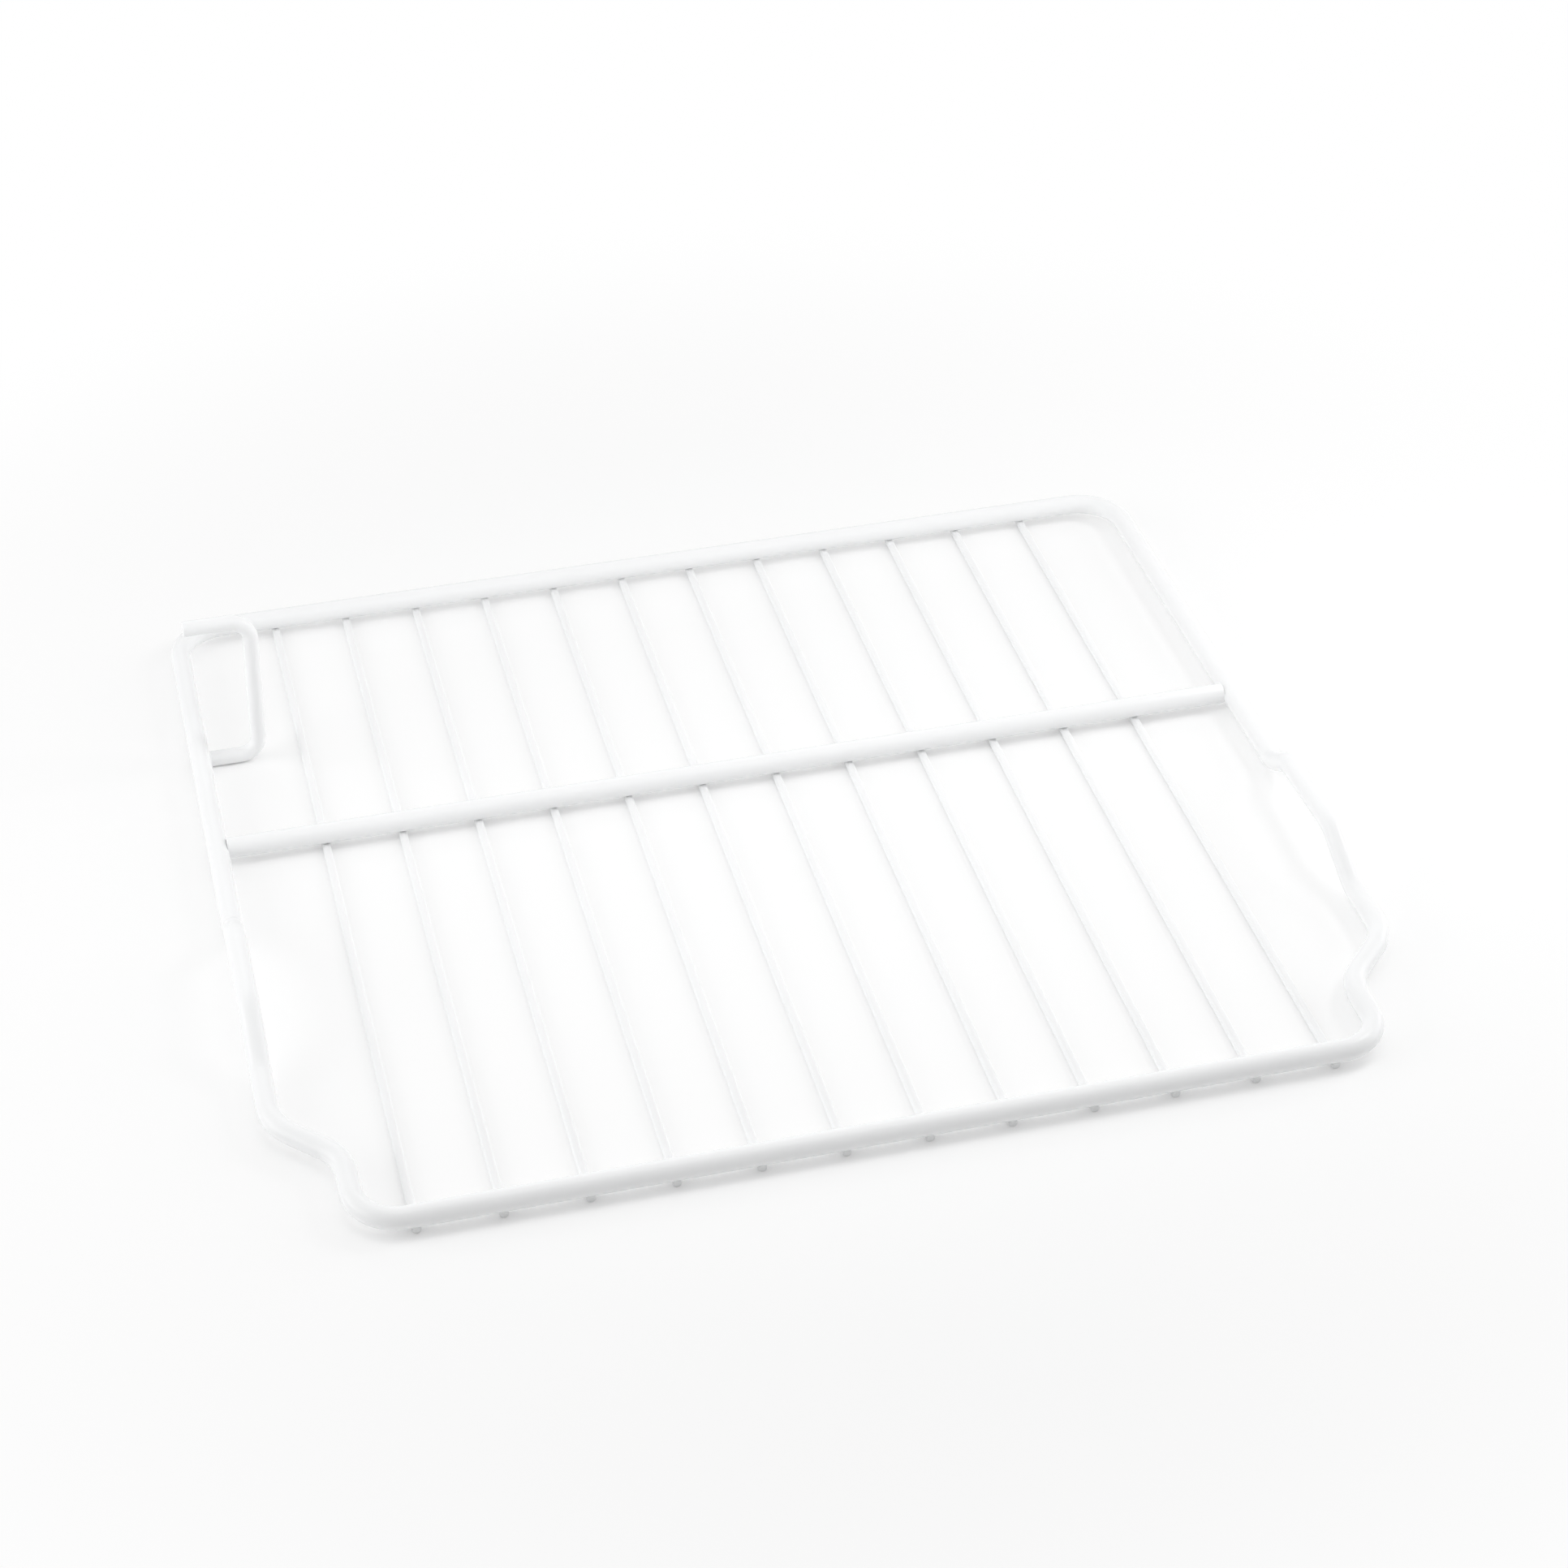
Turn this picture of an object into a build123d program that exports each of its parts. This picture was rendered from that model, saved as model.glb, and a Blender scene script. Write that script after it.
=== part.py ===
from build123d import *
import os

# Freezer shelf of plastic-coated steel wire, lying flat with its grid wires on the floor.
# Sizes are in millimetres. X runs across the shelf, Y from its front to its back, Z up from the floor.
# The origin is on the floor, midway between the two side wires and between the front and back rails.

# Wire stock: three steel cores, all dipped in the same plastic coat
coat_thickness = 0.3
frame_core_diameter = 7.0
grid_core_diameter = 2.5
loop_core_diameter = 5.2

# Frame in plan, from axis to axis: the side wires, the rails, the crossbar and the corners
side_spacing = 385.2
rail_spacing = 352.8
crossbar_from_front = 206.9
back_corner_radius = 18.0
front_corner_radius = 15.4

# Grid: parallel wires from front to back, cut off just past the axes of the rails
grid_wire_count = 12
side_margin = 38.6
grid_overhang = 1.5

# Step: where each side wire moves inwards behind its front corner
step_from_front = 32.7
step_length = 21.6
step_inward = 20.7
step_bend_radius = 21.0

# Hump: where each side wire arches upwards, in order from the step to the back
hump_from_step = 27.2
hump_front_slope_length = 23.4
hump_top_length = 41.3
hump_back_slope_length = 14.5
hump_front_height = 10.7
hump_back_height = 8.9
hump_front_bend_radius = 19.0
hump_back_bend_radius = 10.0

# Corner loop: a C of wire that stands on the floor beside the left side wire
loop_from_back = 83.7
loop_bar_from_side = 22.1
loop_bar_lean = 2.2
loop_height = 58.8
loop_bend_radius = 7.5

# Welds and cut ends: how far one wire sits in another, and the rounded coat over a cut end
grid_weld_sink = 0.3
crossbar_weld_sink = 0.4
loop_weld_tuck = 1.5
cut_end_rounding = 0.6

# Finished wire sizes, coat included
frame_diameter = frame_core_diameter + 2 * coat_thickness
frame_radius = frame_diameter / 2
grid_diameter = grid_core_diameter + 2 * coat_thickness
grid_radius = grid_diameter / 2
loop_diameter = loop_core_diameter + 2 * coat_thickness
loop_radius = loop_diameter / 2

# Axes of the grid and the frame: half widths, levels and stations from front to back
half_width = side_spacing / 2
half_grid_width = half_width - side_margin
grid_pitch = 2 * half_grid_width / (grid_wire_count - 1)
front_half_width = half_width - step_inward
rail_level = grid_diameter - grid_weld_sink + frame_radius
front_y = -rail_spacing / 2
back_y = rail_spacing / 2
crossbar_y = front_y + crossbar_from_front
step_front_y = front_y + step_from_front
step_back_y = step_front_y + step_length
hump_front_foot_y = step_back_y + hump_from_step
hump_front_top_y = hump_front_foot_y + hump_front_slope_length
hump_back_top_y = hump_front_top_y + hump_top_length
hump_back_foot_y = hump_back_top_y + hump_back_slope_length

# Stations where the flat runs of the frame wire meet its upright, arched side runs
side_front_y = step_back_y + hump_from_step / 2
side_back_y = back_y - 2 * back_corner_radius

# Axes of the corner loop
loop_y = back_y - loop_from_back
loop_foot_x = half_width - loop_bar_from_side
loop_top_x = loop_foot_x - loop_bar_lean
loop_weld_x = half_width - frame_radius + loop_weld_tuck
pin_level = loop_radius + loop_height

# Lengths of the straight wires
grid_length = rail_spacing + 2 * grid_overhang
crossbar_length = 2 * (half_width - frame_radius + crossbar_weld_sink)

os.makedirs("parts", exist_ok=True)


# Outer frame: the right half in three runs of bent wire, then the left half as its mirror image
with BuildPart() as outer_frame:
    # Half of the back rail, round the back corner and on to the side
    with BuildLine(Plane.XY.offset(rail_level)) as back_run:
        FilletPolyline(
            (0, back_y),
            (half_width, back_y),
            (half_width, side_back_y),
            radius=back_corner_radius,
        )
    with BuildSketch(Plane(origin=back_run.line @ 0, z_dir=back_run.line % 0)):
        Circle(frame_radius)
    sweep()

    # The side wire, seen from the side: level, up the hump's back, along its top, down and level again
    with BuildLine(Plane.YZ.offset(half_width)) as side_run:
        FilletPolyline(
            (side_back_y, rail_level),
            (hump_back_foot_y, rail_level),
            (hump_back_top_y, rail_level + hump_back_height),
            (hump_front_top_y, rail_level + hump_front_height),
            (hump_front_foot_y, rail_level),
            (side_front_y, rail_level),
            radius=[
                hump_back_bend_radius,
                hump_back_bend_radius,
                hump_front_bend_radius,
                hump_front_bend_radius,
            ],
        )
    with BuildSketch(Plane(origin=side_run.line @ 0, z_dir=side_run.line % 0)):
        Circle(frame_radius)
    sweep()

    # The step inwards, the front corner and half of the front rail
    with BuildLine(Plane.XY.offset(rail_level)) as front_run:
        FilletPolyline(
            (half_width, side_front_y),
            (half_width, step_back_y),
            (front_half_width, step_front_y),
            (front_half_width, front_y),
            (0, front_y),
            radius=[step_bend_radius, step_bend_radius, front_corner_radius],
        )
    with BuildSketch(Plane(origin=front_run.line @ 0, z_dir=front_run.line % 0)):
        Circle(frame_radius)
    sweep()

    mirror(about=Plane.YZ)

outer_frame.part.label = "outer_frame"
export_step(outer_frame.part, "parts/outer_frame.step")


# Crossbar: a straight bar whose rounded ends have a shallow seat for the side wires' flanks
with BuildPart() as crossbar:
    with BuildSketch(Plane.YZ):
        with Locations((crossbar_y, rail_level)):
            Circle(frame_radius)
    extrude(amount=crossbar_length / 2, both=True)
    fillet(crossbar.edges().filter_by(GeomType.CIRCLE), radius=cut_end_rounding)
    with BuildSketch(Plane.XZ.offset(-crossbar_y)):
        with Locations((-half_width, rail_level), (half_width, rail_level)):
            Circle(frame_radius)
    extrude(amount=frame_diameter, both=True, mode=Mode.SUBTRACT)

crossbar.part.label = "crossbar"
export_step(crossbar.part, "parts/crossbar.step")


# Grid wires: thin wires on the floor, each with three shallow seats for the bars welded on top of it
for index in range(grid_wire_count):
    wire_x = index * grid_pitch - half_grid_width
    with BuildPart() as grid_wire:
        with BuildSketch(Plane.XZ):
            with Locations((wire_x, grid_radius)):
                Circle(grid_radius)
        extrude(amount=grid_length / 2, both=True)
        fillet(grid_wire.edges().filter_by(GeomType.CIRCLE), radius=cut_end_rounding)
        with BuildSketch(Plane.YZ.offset(wire_x)):
            with Locations((front_y, rail_level), (crossbar_y, rail_level), (back_y, rail_level)):
                Circle(frame_radius)
        extrude(amount=grid_diameter, both=True, mode=Mode.SUBTRACT)
    wire_name = f"grid_wire_{index + 1:02d}"
    grid_wire.part.label = wire_name
    export_step(grid_wire.part, f"parts/{wire_name}.step")


# Corner loop: foot leg on the floor, upright bar and a free upper leg that points outwards
with BuildPart() as corner_loop:
    with BuildLine(Plane.XZ.offset(-loop_y)) as loop_run:
        FilletPolyline(
            (-loop_weld_x, loop_radius),
            (-loop_foot_x, loop_radius),
            (-loop_top_x, pin_level),
            (-half_width, pin_level),
            radius=loop_bend_radius,
        )
    with BuildSketch(Plane(origin=loop_run.line @ 0, z_dir=loop_run.line % 0)):
        Circle(loop_radius)
    sweep()
    pin_end = corner_loop.faces().filter_by(Axis.X).sort_by(Axis.Z)[-1]
    fillet(pin_end.edges(), radius=cut_end_rounding)
    with BuildSketch(Plane.XZ.offset(-loop_y)):
        with Locations((-half_width, rail_level)):
            Circle(frame_radius)
    extrude(amount=loop_diameter, both=True, mode=Mode.SUBTRACT)

corner_loop.part.label = "corner_loop"
export_step(corner_loop.part, "parts/corner_loop.step")
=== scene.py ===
# %% [markdown]
# # A freezer shelf of plastic-coated wire
#
# The shelf is one welded piece: a thick wire bent into a frame, a bar across it, twelve thin wires
# from front to back and a standing loop at one back corner. All of it is dipped in the same white
# plastic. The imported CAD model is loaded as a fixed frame, in metres, and each wire is then bent
# again here as a fine, smooth tube that takes the place of its CAD node.

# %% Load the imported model
from math import ceil, radians, tan

import bpy
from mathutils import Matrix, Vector


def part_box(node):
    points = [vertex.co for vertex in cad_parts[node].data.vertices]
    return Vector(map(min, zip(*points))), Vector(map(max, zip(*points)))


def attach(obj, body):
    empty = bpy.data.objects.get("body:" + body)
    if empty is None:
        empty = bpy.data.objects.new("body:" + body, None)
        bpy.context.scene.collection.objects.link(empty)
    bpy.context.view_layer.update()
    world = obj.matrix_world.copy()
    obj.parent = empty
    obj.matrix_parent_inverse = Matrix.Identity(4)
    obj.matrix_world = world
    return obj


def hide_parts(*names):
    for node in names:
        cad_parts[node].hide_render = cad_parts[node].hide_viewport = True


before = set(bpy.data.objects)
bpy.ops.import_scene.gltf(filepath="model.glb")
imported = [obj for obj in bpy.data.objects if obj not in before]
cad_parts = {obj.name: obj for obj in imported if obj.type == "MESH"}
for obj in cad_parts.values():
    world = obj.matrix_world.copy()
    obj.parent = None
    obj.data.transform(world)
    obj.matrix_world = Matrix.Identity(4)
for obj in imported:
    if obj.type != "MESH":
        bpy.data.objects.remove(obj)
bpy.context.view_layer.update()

bpy.ops.object.select_all(action="DESELECT")

# %% [markdown]
# ## Camera
#
# The camera stands in front of the shelf, a little to its left and well above it. Its place and lens
# were worked out from the twelve straight wires and the three bars, whose lines run together in the
# distance. The picture is square, so the focal length in pixels sets the lens on a 36 mm sensor.

# %% Camera
photo_pixels = 1932
focal_pixels = 4185.3
sensor_width = 36.0
camera_place = (-0.22273, -0.96499, 0.74295)
camera_turn = (radians(53.8953), radians(0.6958), radians(-14.0549))
view_distance = 100.0

bpy.ops.object.camera_add(location=camera_place, rotation=camera_turn)
camera = bpy.context.object
camera.name = "camera"
camera.data.sensor_width = sensor_width
camera.data.lens = sensor_width * focal_pixels / photo_pixels
camera.data.clip_end = view_distance
bpy.context.scene.camera = camera
print("camera lens", round(camera.data.lens, 2), "mm")

# %% [markdown]
# ## Small helpers for node trees
#
# Every finish below is a tree of shader nodes. Three helpers keep the cells short: one adds a node and
# sets its plain values, one joins an output to an input, and one tells what is seen directly from what
# only receives scattered light.


# %% Node helpers
def add_node(tree, kind, values=None, **settings):
    """A new node of that kind, with its settings and the plain values of its inputs."""
    node = tree.nodes.new(kind)
    for setting, value in settings.items():
        setattr(node, setting, value)
    for socket, value in (values or {}).items():
        node.inputs[socket].default_value = value
    return node


def join(tree, source, output, target, socket):
    """A link from one node's output to another node's input."""
    tree.links.new(source.outputs[output], target.inputs[socket])


def seen_directly(tree):
    """A value of 1 for what the camera, a reflection or a clear body sees, and 0 for scattered light."""
    path = add_node(tree, "ShaderNodeLightPath")
    either = add_node(tree, "ShaderNodeMath", operation="MAXIMUM")
    any_of_them = add_node(tree, "ShaderNodeMath", operation="MAXIMUM")
    join(tree, path, "Is Camera Ray", either, 0)
    join(tree, path, "Is Glossy Ray", either, 1)
    join(tree, either, 0, any_of_them, 0)
    join(tree, path, "Is Transmission Ray", any_of_them, 1)
    return any_of_them


print("node helpers ready")

# %% [markdown]
# ## Floor
#
# The shelf lies on a plain white table. One large square is enough, because the camera looks down so
# steeply that it sees nothing else. The floor scatters light and keeps the soft shadows. What is seen
# of it directly is lifted half way to white, and all the way to white further off the shelf. An
# ambient occlusion node takes the lift back in the last few millimetres round a wire, so that the
# contact shadows stay deep. All of that leaves the lamps, and so the light on the shelf, as they are.

# %% Floor
floor_size = 60.0
floor_grey = (0.955, 0.955, 0.955, 1)
floor_pale = (0.975, 0.975, 0.975, 1)
floor_white = (1, 1, 1, 1)
floor_roughness = 0.9
cloud_scale = 1.5
lift_near, lift_far = 0.46, 1.0
near_distance, far_distance = 0.20, 0.50
contact_distance = 0.005
contact_rays = 4

bpy.ops.mesh.primitive_plane_add(size=floor_size, location=(0, 0, 0))
floor = bpy.context.object
floor.name = "table"

floor_finish = bpy.data.materials.new("table_white")
floor_finish.use_nodes = True
tree = floor_finish.node_tree
surface = tree.nodes["Principled BSDF"]
surface.inputs["Roughness"].default_value = floor_roughness
surface.inputs["Specular IOR Level"].default_value = 0.0
place = add_node(tree, "ShaderNodeTexCoord")
cloud = add_node(tree, "ShaderNodeTexNoise", {"Scale": cloud_scale})
tone = add_node(tree, "ShaderNodeMix", data_type="RGBA")
tone.inputs["A"].default_value = floor_grey
tone.inputs["B"].default_value = floor_pale
join(tree, place, "Object", cloud, "Vector")
join(tree, cloud, "Fac", tone, "Factor")
tree.links.new(tone.outputs["Result"], surface.inputs["Base Color"])

distance = add_node(tree, "ShaderNodeVectorMath", operation="LENGTH")
lift = add_node(tree, "ShaderNodeMapRange", interpolation_type="SMOOTHSTEP")
lift.inputs["From Min"].default_value = near_distance
lift.inputs["From Max"].default_value = far_distance
lift.inputs["To Min"].default_value = lift_near
lift.inputs["To Max"].default_value = lift_far
contact = add_node(tree, "ShaderNodeAmbientOcclusion", samples=contact_rays)
contact.inputs["Distance"].default_value = contact_distance
open_lift = add_node(tree, "ShaderNodeMath", operation="MULTIPLY")
share = add_node(tree, "ShaderNodeMath", operation="MULTIPLY")
white = add_node(tree, "ShaderNodeEmission", {"Color": floor_white})
blend = add_node(tree, "ShaderNodeMixShader")
join(tree, place, "Object", distance, 0)
join(tree, distance, "Value", lift, "Value")
join(tree, seen_directly(tree), 0, share, 0)
join(tree, lift, "Result", open_lift, 0)
join(tree, contact, "AO", open_lift, 1)
join(tree, open_lift, 0, share, 1)
join(tree, share, 0, blend, "Fac")
join(tree, surface, 0, blend, 1)
join(tree, white, 0, blend, 2)
join(tree, blend, 0, tree.nodes["Material Output"], "Surface")
floor.data.materials.append(floor_finish)
print("floor", floor_size, "m square")

# %% [markdown]
# ## Light
#
# Small softboxes hang close to the shelf: one above it, one over either side, one behind it, and one
# over the front rail that is tilted towards the back. The one on the right is the smallest, so every
# wire has a firm narrow shadow on its left. A strip with a grid, which keeps its beam together, reaches
# over the front rail to the bars behind it. So the fronts of the back bars are brighter than the front
# of the front rail, which stays darkest. Two low white panels further off brighten the wires' flanks.
# The world adds a fill that is even but for the dark room behind the camera, and where it is seen
# directly it is plain white, like the table. The lamps are hidden from the camera, so that they never
# stand in a view.

# %% Softboxes and world
middle = (0.0, 0.0, 0.0)
back_bars = (0.0, 0.25, 0.0)
back_rail = (0.0, 0.176, 0.005)
open_beam, gridded_beam = radians(180), radians(30)
lamps = {
    "softbox_above": ((0.0, 0.0, 0.60), middle, (0.50, 0.50), 0.10, open_beam),
    "softbox_left": ((-0.50, 0.0, 0.50), middle, (0.50, 0.40), 0.50, open_beam),
    "softbox_right": ((0.50, 0.0, 0.50), middle, (0.22, 0.18), 0.82, open_beam),
    "softbox_front": ((0.0, -0.14, 0.42), back_bars, (0.45, 0.20), 0.49, open_beam),
    "softbox_behind": ((0.0, 0.70, 0.60), middle, (0.70, 0.50), 0.68, open_beam),
    "strip_front": ((0.0, -0.45, 0.32), back_rail, (0.50, 0.08), 0.009, gridded_beam),
    "panel_left": ((-1.0, 0.0, 0.35), middle, (0.90, 0.50), 3.1, open_beam),
    "panel_right": ((1.0, 0.0, 0.35), middle, (0.90, 0.50), 2.65, open_beam),
}
fill_strength = 0.51
room_strength = 0.29
white_strength = 1.0
room_side = Vector((-0.1, -0.7, 0.7)).normalized()
room_edge, room_core = 0.72, 0.96

for lamp_name, (lamp_place, lamp_aim, lamp_size, lamp_watts, lamp_beam) in lamps.items():
    turn = (Vector(lamp_aim) - Vector(lamp_place)).to_track_quat("-Z", "Y").to_euler()
    bpy.ops.object.light_add(type="AREA", location=lamp_place, rotation=turn)
    lamp = bpy.context.object
    lamp.name = lamp_name
    lamp.data.shape = "RECTANGLE"
    lamp.data.size, lamp.data.size_y = lamp_size
    lamp.data.energy = lamp_watts
    lamp.data.spread = lamp_beam
    lamp.visible_camera = False

world = bpy.data.worlds.new("studio")
bpy.context.scene.world = world
world.use_nodes = True
tree = world.node_tree
fill = tree.nodes["Background"]
fill.inputs["Color"].default_value = floor_white
direction = add_node(tree, "ShaderNodeTexCoord")
towards_room = add_node(tree, "ShaderNodeVectorMath", operation="DOT_PRODUCT")
towards_room.inputs[1].default_value = room_side
dimmer = add_node(tree, "ShaderNodeMapRange", interpolation_type="SMOOTHSTEP")
dimmer.inputs["From Min"].default_value = room_edge
dimmer.inputs["From Max"].default_value = room_core
dimmer.inputs["To Min"].default_value = fill_strength
dimmer.inputs["To Max"].default_value = room_strength
join(tree, direction, "Generated", towards_room, 0)
join(tree, towards_room, "Value", dimmer, "Value")
strength = add_node(tree, "ShaderNodeMix", {"B": white_strength}, data_type="FLOAT")
join(tree, seen_directly(tree), 0, strength, "Factor")
join(tree, dimmer, "Result", strength, "A")
join(tree, strength, "Result", fill, "Strength")
bpy.context.scene.view_settings.view_transform = "Standard"
print(len(lamps), "lamps; fill", fill_strength)

# %% [markdown]
# ## The white coat
#
# The coat is a smooth white plastic, a touch cooler than the table. It isn't one flat white: its
# thickness drifts along the wire, which shows as faint paler and greyer stretches. One node group makes
# that tone and its gloss for every wire. A second group makes the ripple of a melted coat, the fine
# orange peel that breaks up the highlights.


# %% Node groups for the coat
def new_group(name, inputs, outputs):
    """An empty shader node group with its own input and output nodes."""
    group = bpy.data.node_groups.new(name, "ShaderNodeTree")
    for socket, kind in inputs:
        group.interface.new_socket(socket, in_out="INPUT", socket_type=kind)
    for socket, kind in outputs:
        group.interface.new_socket(socket, in_out="OUTPUT", socket_type=kind)
    return group, add_node(group, "NodeGroupInput"), add_node(group, "NodeGroupOutput")


number, colour = "NodeSocketFloat", "NodeSocketColor"
drift_grain = {"Detail": 3.0, "Roughness": 0.55}
peel_grain = {"Detail": 1.5, "Roughness": 0.4}
wave_grain = {"Detail": 0.0}
drift_low, drift_high = 0.3, 0.7

coat_tone, given, made = new_group(
    "coat_tone",
    [("Pale", colour), ("Grey", colour), ("Drift Scale", number), ("Gloss", number), ("Matt", number)],
    [("Color", colour), ("Roughness", number)],
)
place = add_node(coat_tone, "ShaderNodeTexCoord")
drift = add_node(coat_tone, "ShaderNodeTexNoise", drift_grain)
white_mix = add_node(coat_tone, "ShaderNodeMix", data_type="RGBA")
join(coat_tone, place, "Object", drift, "Vector")
join(coat_tone, given, "Drift Scale", drift, "Scale")
join(coat_tone, drift, "Fac", white_mix, "Factor")
coat_tone.links.new(given.outputs["Pale"], white_mix.inputs["A"])
coat_tone.links.new(given.outputs["Grey"], white_mix.inputs["B"])
coat_tone.links.new(white_mix.outputs["Result"], made.inputs["Color"])

gloss = add_node(coat_tone, "ShaderNodeMapRange")
gloss.inputs["From Min"].default_value = drift_low
gloss.inputs["From Max"].default_value = drift_high
join(coat_tone, drift, "Fac", gloss, "Value")
join(coat_tone, given, "Gloss", gloss, "To Min")
join(coat_tone, given, "Matt", gloss, "To Max")
join(coat_tone, gloss, "Result", made, "Roughness")

coat_ripple, given, made = new_group(
    "coat_ripple",
    [("Peel Scale", number), ("Wave Scale", number), ("Wave Share", number)],
    [("Height", number)],
)
place = add_node(coat_ripple, "ShaderNodeTexCoord")
peel = add_node(coat_ripple, "ShaderNodeTexNoise", peel_grain)
wave = add_node(coat_ripple, "ShaderNodeTexNoise", wave_grain)
height = add_node(coat_ripple, "ShaderNodeMath", operation="MULTIPLY_ADD")
join(coat_ripple, place, "Object", peel, "Vector")
join(coat_ripple, place, "Object", wave, "Vector")
join(coat_ripple, given, "Peel Scale", peel, "Scale")
join(coat_ripple, given, "Wave Scale", wave, "Scale")
join(coat_ripple, wave, "Fac", height, 0)
join(coat_ripple, given, "Wave Share", height, 1)
join(coat_ripple, peel, "Fac", height, 2)
join(coat_ripple, height, 0, made, "Height")
print("node groups:", [group.name for group in (coat_tone, coat_ripple)])

# %% [markdown]
# Each kind of wire gets its own material, because the coat lies differently on it: long lazy waves on
# the thick frame wire, a finer and duller skin on the thin wires. The thin wires' white is also a
# little greyer than the frame's. That is painted shade on what is the same coat. The plastic's shine
# comes from the shader itself, with a refractive index of 1.5, and is held back by the specular level,
# because the coat is dipped and not polished.


# %% Coat materials
coat_ior = 1.5


def coat_material(
    name, pale, grey, rough, shine, drift_scale, peel_scale, wave_scale, wave_share, bump_depth
):
    """White plastic whose tone, gloss and ripple come from the two groups."""
    material = bpy.data.materials.new(name)
    material.use_nodes = True
    tree = material.node_tree
    surface = tree.nodes["Principled BSDF"]
    surface.inputs["IOR"].default_value = coat_ior
    surface.inputs["Specular IOR Level"].default_value = shine
    tone = add_node(tree, "ShaderNodeGroup", node_tree=coat_tone)
    tone.inputs["Pale"].default_value = pale
    tone.inputs["Grey"].default_value = grey
    tone.inputs["Drift Scale"].default_value = drift_scale
    tone.inputs["Gloss"].default_value, tone.inputs["Matt"].default_value = rough
    ripple = add_node(tree, "ShaderNodeGroup", node_tree=coat_ripple)
    ripple.inputs["Peel Scale"].default_value = peel_scale
    ripple.inputs["Wave Scale"].default_value = wave_scale
    ripple.inputs["Wave Share"].default_value = wave_share
    bump = add_node(tree, "ShaderNodeBump", {"Strength": 1.0, "Distance": bump_depth})
    join(tree, tone, "Color", surface, "Base Color")
    join(tree, tone, "Roughness", surface, "Roughness")
    join(tree, ripple, "Height", bump, "Height")
    join(tree, bump, "Normal", surface, "Normal")
    print("material", name)
    return material


frame_coat = coat_material(
    "frame_coat",
    pale=(0.926, 0.931, 0.934, 1),
    grey=(0.910, 0.916, 0.920, 1),
    rough=(0.15, 0.21),
    shine=0.22,
    drift_scale=22.0,
    peel_scale=620.0,
    wave_scale=95.0,
    wave_share=5.0,
    bump_depth=0.000012,
)
thin_coat_painted_shade = coat_material(
    "thin_wire_coat",
    pale=(0.921, 0.926, 0.929, 1),
    # The thin wires' white is a little darker than the frame's: painted shade on the same white coat.
    grey=(0.904, 0.910, 0.914, 1),
    rough=(0.36, 0.46),
    shine=0.10,
    drift_scale=35.0,
    peel_scale=900.0,
    wave_scale=160.0,
    wave_share=4.0,
    bump_depth=0.000008,
)

# %% [markdown]
# ## Tools for bending wire
#
# A wire is bent on a bench: it runs straight, turns round a former and runs straight again. The same
# can be done in edit mode. A circle, which is the wire's cross-section, is extruded along each
# straight run and spun round the centre of each bend. This gives a tube of clean four-sided faces
# whose rings follow the bends, where a curve with a bevel would bunch up at tight corners. Without a
# window the spin operator turns the other way, so its angle is negative here.

# %% Wire bending
ring_points = 40
degrees_a_ring = 5.0


def bend_wire(name, radius, corners, bends):
    """A tube along the corners, each inner corner rounded to its bend radius. Its ends are open."""
    corners = [Vector(corner) for corner in corners]
    here = corners[0]
    heading = (corners[1] - here).normalized()
    bpy.ops.object.select_all(action="DESELECT")
    facing = heading.to_track_quat("Z", "Y").to_euler()
    bpy.ops.mesh.primitive_circle_add(vertices=ring_points, radius=radius, location=here, rotation=facing)
    wire = bpy.context.object
    wire.name = name
    bpy.ops.object.transform_apply(location=True, rotation=True, scale=True)
    bpy.ops.object.mode_set(mode="EDIT")
    bpy.ops.mesh.select_all(action="SELECT")
    for corner, beyond, bend in zip(corners[1:-1], corners[2:], bends):
        ahead = (beyond - corner).normalized()
        turn = heading.angle(ahead)
        axis = heading.cross(ahead).normalized()
        bend_start = corner - heading * bend * tan(turn / 2)
        bpy.ops.mesh.extrude_region_move(TRANSFORM_OT_translate={"value": bend_start - here})
        centre = bend_start + axis.cross(heading) * bend
        rings = ceil(turn / radians(degrees_a_ring))
        bpy.ops.mesh.spin(steps=rings, angle=-turn, center=centre, axis=axis)
        here = corner + ahead * bend * tan(turn / 2)
        heading = ahead
    bpy.ops.mesh.extrude_region_move(TRANSFORM_OT_translate={"value": corners[-1] - here})
    bpy.ops.object.mode_set(mode="OBJECT")
    return wire


# %% [markdown]
# A cut end is closed with a face and its rim is bevelled, because the plastic draws back into a soft
# round edge there. The rim is found in code: it is the ring of points around the end's centre.


# %% Closing a cut end
ring_reach = 1.01
rim_rings = 5
merge_distance = 0.000001
smooth_angle = radians(35)


def select_ring(wire, centre, reach):
    """Selects the ring of points within reach of an end's centre, in edit mode."""
    bpy.ops.object.mode_set(mode="OBJECT")
    bpy.ops.object.select_all(action="DESELECT")
    wire.select_set(True)
    bpy.context.view_layer.objects.active = wire
    bpy.ops.object.mode_set(mode="EDIT")
    bpy.ops.mesh.select_mode(type="VERT")
    bpy.ops.mesh.select_all(action="DESELECT")
    bpy.ops.object.mode_set(mode="OBJECT")
    for point in wire.data.vertices:
        point.select = (point.co - Vector(centre)).length < reach
    bpy.ops.object.mode_set(mode="EDIT")


def close_end(wire, centre, radius, rounding):
    """Fills the open ring at a cut end and rounds its rim."""
    select_ring(wire, centre, radius * ring_reach)
    bpy.ops.mesh.edge_face_add()
    bpy.ops.mesh.bevel(offset=rounding, segments=rim_rings, affect="EDGES")
    bpy.ops.object.mode_set(mode="OBJECT")


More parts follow.
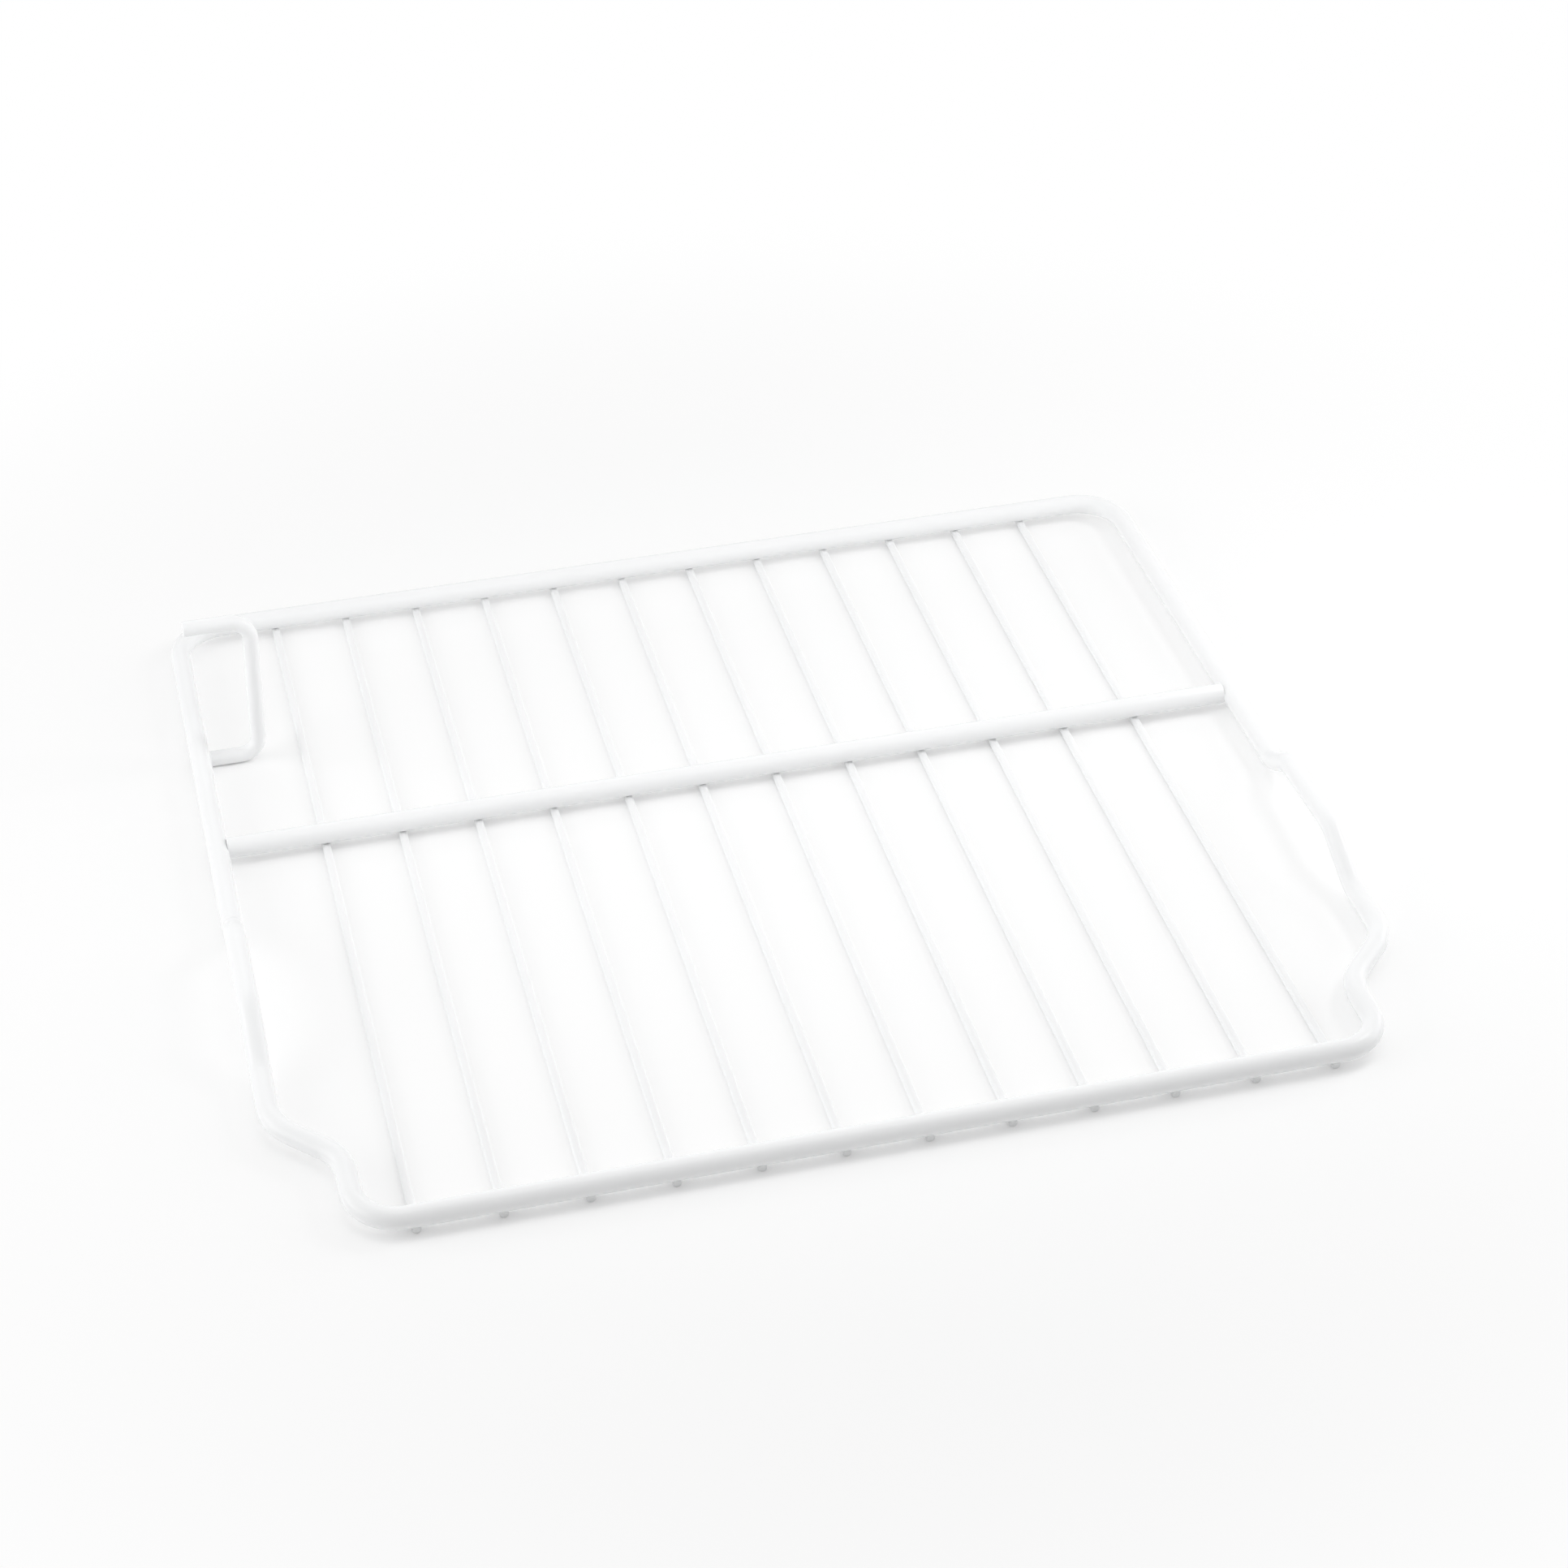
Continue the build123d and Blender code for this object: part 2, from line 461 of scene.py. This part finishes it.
def finish_wire(wire, material, node):
    """Turns the faces outwards, smooths them, coats the wire and lets it stand for its CAD node."""
    bpy.ops.object.select_all(action="DESELECT")
    wire.select_set(True)
    bpy.context.view_layer.objects.active = wire
    bpy.ops.object.mode_set(mode="EDIT")
    bpy.ops.mesh.select_all(action="SELECT")
    bpy.ops.mesh.remove_doubles(threshold=merge_distance)
    bpy.ops.mesh.normals_make_consistent(inside=False)
    bpy.ops.object.mode_set(mode="OBJECT")
    bpy.ops.object.shade_smooth_by_angle(angle=smooth_angle)
    wire.data.materials.clear()
    wire.data.materials.append(material)
    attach(wire, "root")
    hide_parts(node)
    low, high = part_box(node)
    corners = [Vector(corner) for corner in wire.bound_box]
    off = max(
        max(abs(min(c[k] for c in corners) - low[k]), abs(max(c[k] for c in corners) - high[k]))
        for k in range(3)
    )
    print(wire.name, len(wire.data.polygons), "faces, box within", round(off * 1000, 3), "mm of", node)


def cut_seat(wire, other):
    """Presses the seat of another wire into this one, so that the two touch without running through."""
    bpy.ops.object.select_all(action="DESELECT")
    wire.select_set(True)
    bpy.context.view_layer.objects.active = wire
    bpy.ops.object.modifier_add(type="BOOLEAN")
    seat = wire.modifiers[-1]
    seat.operation = "DIFFERENCE"
    seat.solver = "EXACT"
    seat.object = other
    bpy.ops.object.modifier_apply(modifier=seat.name)


print("wire tools ready")

# %% [markdown]
# ## Outer frame
#
# The frame is one thick wire bent into a closed loop. The two halves mirror each other, so only the
# right half is bent: along the back rail, round the back corner, forward along the side, up and over
# the arch, inwards at the step, round the front corner and along the front rail to the middle. A
# mirror modifier then makes the left half and welds the two together.

# %% Outer frame
mm = 0.001
frame_radius = 3.8 * mm
rail_level = 6.6 * mm
half_width = 192.6 * mm
front_half_width = 171.9 * mm
back_y, front_y = 176.4 * mm, -176.4 * mm
arch_back_foot_y, arch_back_top_y = -15.7 * mm, -30.2 * mm
arch_front_top_y, arch_front_foot_y = -71.5 * mm, -94.9 * mm
arch_back_level = rail_level + 8.9 * mm
arch_front_level = rail_level + 10.7 * mm
step_back_y, step_front_y = -122.1 * mm, -143.7 * mm
back_corner_bend, front_corner_bend, step_bend = 18.0 * mm, 15.4 * mm, 21.0 * mm
arch_back_bend, arch_front_bend = 10.0 * mm, 19.0 * mm
seam_distance = 0.01 * mm

frame_wire = bend_wire(
    "frame_wire",
    frame_radius,
    corners=[
        (0, back_y, rail_level),
        (half_width, back_y, rail_level),
        (half_width, arch_back_foot_y, rail_level),
        (half_width, arch_back_top_y, arch_back_level),
        (half_width, arch_front_top_y, arch_front_level),
        (half_width, arch_front_foot_y, rail_level),
        (half_width, step_back_y, rail_level),
        (front_half_width, step_front_y, rail_level),
        (front_half_width, front_y, rail_level),
        (0, front_y, rail_level),
    ],
    bends=[
        back_corner_bend,
        arch_back_bend,
        arch_back_bend,
        arch_front_bend,
        arch_front_bend,
        step_bend,
        step_bend,
        front_corner_bend,
    ],
)
bpy.ops.object.modifier_add(type="MIRROR")
mirror = frame_wire.modifiers[-1]
mirror.use_axis = (True, False, False)
mirror.merge_threshold = seam_distance
bpy.ops.object.modifier_apply(modifier=mirror.name)
finish_wire(frame_wire, frame_coat, "outer_frame")

# %% [markdown]
# ## Crossbar
#
# The crossbar is a straight piece of the same thick wire, cut off at both ends and welded between the
# side wires. Its cut ends are closed and rounded, and a shallow seat for each side wire is cut into
# them with a Boolean modifier, so the bar meets the round flanks as it does on the real shelf.

# %% Crossbar
crossbar_y = 30.5 * mm
crossbar_end = 189.2 * mm
cut_rounding = 0.6 * mm

cross_bar = bend_wire(
    "cross_bar",
    frame_radius,
    corners=[(-crossbar_end, crossbar_y, rail_level), (crossbar_end, crossbar_y, rail_level)],
    bends=[],
)
for end_x in (-crossbar_end, crossbar_end):
    close_end(cross_bar, (end_x, crossbar_y, rail_level), frame_radius, cut_rounding)
cut_seat(cross_bar, frame_wire)
finish_wire(cross_bar, frame_coat, "crossbar")

# %% [markdown]
# ## Thin wires
#
# Twelve thin wires lie on the floor under the back rail, the crossbar and the front rail, and end just
# past the rails. One is modelled, with rounded ends and the three seats where the bars are pressed
# into it by the welding. It is then copied across the shelf, and every copy keeps its own mesh.

# %% Thin wires
thin_radius = 1.55 * mm
thin_end_y = 177.9 * mm
thin_count = 12
thin_pitch = 28.0 * mm
first_x = -154.0 * mm

thin_wire = bend_wire(
    "thin_wire_01",
    thin_radius,
    corners=[(first_x, -thin_end_y, thin_radius), (first_x, thin_end_y, thin_radius)],
    bends=[],
)
for end_y in (-thin_end_y, thin_end_y):
    close_end(thin_wire, (first_x, end_y, thin_radius), thin_radius, cut_rounding)
cut_seat(thin_wire, frame_wire)
cut_seat(thin_wire, cross_bar)

thin_wires = [thin_wire]
for index in range(1, thin_count):
    bpy.ops.object.select_all(action="DESELECT")
    thin_wire.select_set(True)
    bpy.context.view_layer.objects.active = thin_wire
    bpy.ops.object.duplicate(linked=False)
    copy = bpy.context.object
    copy.name = f"thin_wire_{index + 1:02d}"
    copy.location.x = index * thin_pitch
    bpy.ops.object.transform_apply(location=True, rotation=False, scale=False)
    thin_wires.append(copy)
for index, wire in enumerate(thin_wires):
    finish_wire(wire, thin_coat_painted_shade, f"grid_wire_{index + 1:02d}")

# %% [markdown]
# ## Corner loop
#
# A C of medium wire stands at the back left corner. Its lower leg lies on the floor with its end
# welded under the flank of the left side wire, its bar stands up with a slight lean, and its upper
# leg reaches out over the side wire and ends in a plain cut that hooks into the freezer's wall.

# %% Corner loop
loop_radius = 2.9 * mm
loop_y = 92.7 * mm
loop_weld_x = -190.3 * mm
loop_foot_x, loop_top_x = -170.5 * mm, -168.3 * mm
pin_level = 61.7 * mm
loop_bend = 7.5 * mm

loop_wire = bend_wire(
    "loop_wire",
    loop_radius,
    corners=[
        (loop_weld_x, loop_y, loop_radius),
        (loop_foot_x, loop_y, loop_radius),
        (loop_top_x, loop_y, pin_level),
        (-half_width, loop_y, pin_level),
    ],
    bends=[loop_bend, loop_bend],
)
close_end(loop_wire, (loop_weld_x, loop_y, loop_radius), loop_radius, cut_rounding)
close_end(loop_wire, (-half_width, loop_y, pin_level), loop_radius, cut_rounding)
cut_seat(loop_wire, frame_wire)
finish_wire(loop_wire, frame_coat, "corner_loop")
